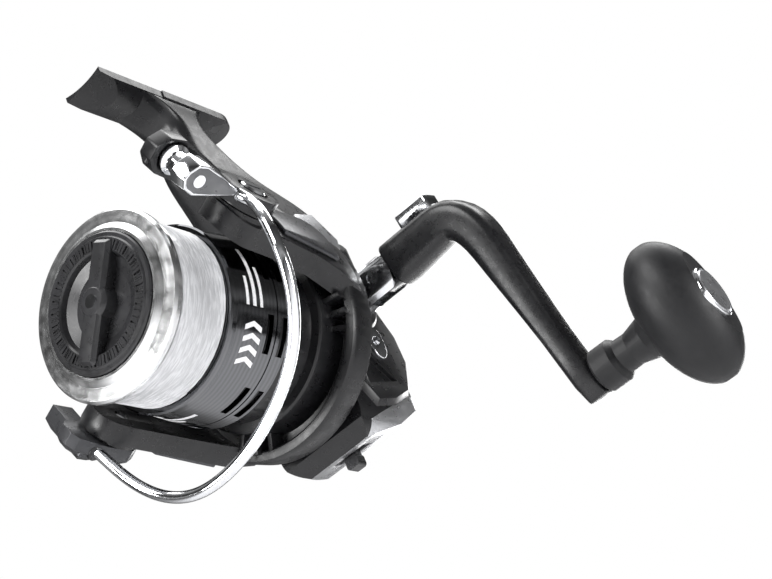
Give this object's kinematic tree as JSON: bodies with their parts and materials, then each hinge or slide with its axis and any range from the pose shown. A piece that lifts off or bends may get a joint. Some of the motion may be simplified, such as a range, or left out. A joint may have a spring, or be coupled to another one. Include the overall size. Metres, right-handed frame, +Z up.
{
  "type": "fishing reel",
  "caption": "Fixed-spool fishing reel with a long foot, oscillating skirted spool, rotor with flip-over bail and line roller, front drag knob and folding crank handle.",
  "frame": {"origin": "centre of the foot's saddle, where the foot rests against the rod", "axes": "+X forward along the rod and the spool axis, +Y to the crank handle's side, +Z up from the reel towards the rod"},
  "size_m": [0.1186, 0.159, 0.1605],
  "materials": {
    "body_black": "satin paint on carbon-filled nylon",
    "handle_black": "die cast, satin black paint",
    "grip_rubber": "soft-touch matt",
    "spool_anodised": "dark anodised, polished",
    "lip_polished": "turned and polished",
    "line_clear": "wound nylon line",
    "chrome": "polished",
    "steel": "ground",
    "silver_paint": "silver satin",
    "smoke_metal": "dark satin grey",
    "brass": "machined",
    "zinc": "die cast zinc",
    "knob_plastic": "satin",
    "felt": "oiled felt",
    "bronze_sleeve": "sintered bronze"
  },
  "bodies": {
    "housing": {"housing": "body_black", "side_cover": "body_black", "bottom_cap": "silver_paint", "side_badge": "chrome", "flank_plate": "silver_paint", "handle_port_cap": "smoke_metal", "drive_bearings": "steel", "pinion_bearing": "steel", "anti_reverse_clutch": "steel", "crank_gear_axle": "steel", "reverse_lever_pin": "steel"},
    "drive": {"drive_gear": "zinc", "drive_shaft": "steel", "crank_pinion": "brass", "handle_knuckle": "chrome"},
    "handle": {"handle_arm": "handle_black", "fold_pin": "steel", "knob_shaft": "steel"},
    "fold_button": {"fold_button": "chrome"},
    "knob": {"knob_grip": "grip_rubber", "knob_sleeves": "bronze_sleeve", "knob_cap": "silver_paint"},
    "rotor": {"rotor": "body_black", "pinion": "brass", "rotor_nut": "steel", "arm_covers": "smoke_metal"},
    "bail": {"bail_lever": "smoke_metal", "roller_cover": "chrome", "bail_wire": "chrome", "wire_holder": "smoke_metal", "roller_pin": "chrome", "bail_screws": "chrome"},
    "line_roller": {"line_roller": "chrome"},
    "shaft": {"main_shaft": "steel", "crosswind_block": "zinc", "click_gear": "knob_plastic"},
    "spool": {"spool": "spool_anodised", "spool_lip": "lip_polished", "line_winding": "line_clear", "drag_washers": "steel", "drag_felts": "felt", "drag_retainer": "steel", "line_clip": "chrome"},
    "drag_knob": {"drag_knob": "knob_plastic", "drag_knob_bar": "knob_plastic", "drag_knob_pin": "chrome", "drag_nut": "brass", "drag_spring": "steel"},
    "crank_gear": {"crank_gear": "knob_plastic"},
    "anti_reverse_lever": {"anti_reverse_lever": "knob_plastic"}
  },
  "joints": [
    {"name": "handle_turn", "type": "hinge", "parent": "housing", "child": "drive", "pos_m": [-0.0296, 0, -0.0805], "axis": [0, 1, 0], "continuous": true},
    {"name": "rotor_spin", "type": "hinge", "parent": "housing", "child": "rotor", "pos_m": [0, 0, -0.086], "axis": [1, 0, 0], "continuous": true},
    {"name": "crank_gear_turn", "type": "hinge", "parent": "housing", "child": "crank_gear", "pos_m": [-0.0395, 0.009, -0.09096], "axis": [0, 1, 0], "continuous": true},
    {"name": "spool_stroke", "type": "slide", "parent": "housing", "child": "shaft", "axis": [1, 0, 0], "range_m": [-0.011, 0.004]},
    {"name": "drag_slip", "type": "hinge", "parent": "shaft", "child": "spool", "pos_m": [0, 0, -0.086], "axis": [1, 0, 0], "continuous": true},
    {"name": "drag_adjust", "type": "hinge", "parent": "shaft", "child": "drag_knob", "pos_m": [0.054, 0, -0.086], "axis": [1, 0, 0], "range_deg": [-540, 540]},
    {"name": "bail_open", "type": "hinge", "parent": "rotor", "child": "bail", "pos_m": [0.028, 0, -0.086], "axis": [0, -0.9205, -0.3907], "range_deg": [0, 120]},
    {"name": "roller_spin", "type": "hinge", "parent": "bail", "child": "line_roller", "pos_m": [0.0546, 0.03866, -0.06959], "axis": [0, 0.3907, -0.9205], "continuous": true},
    {"name": "handle_fold", "type": "hinge", "parent": "drive", "child": "handle", "pos_m": [-0.0296, 0.033, -0.0805], "axis": [-0.9725, 0, 0.2327], "range_deg": [0, 42]},
    {"name": "fold_button_press", "type": "slide", "parent": "handle", "child": "fold_button", "axis": [-0.2327, 0, -0.9725], "range_m": [0, 0.0012], "stiffness_N_per_m": 400},
    {"name": "knob_spin", "type": "hinge", "parent": "handle", "child": "knob", "pos_m": [-0.0436, 0.09, -0.139], "axis": [0, 1, 0], "continuous": true},
    {"name": "anti_reverse_switch", "type": "hinge", "parent": "housing", "child": "anti_reverse_lever", "pos_m": [-0.0295, 0, -0.113], "axis": [1, 0, 0], "range_deg": [-14, 14]}
  ],
  "couplings": [
    {"joint": "rotor_spin", "follows": "handle_turn", "ratio": 4.5714},
    {"joint": "crank_gear_turn", "follows": "handle_turn", "ratio": -0.5}
  ]
}
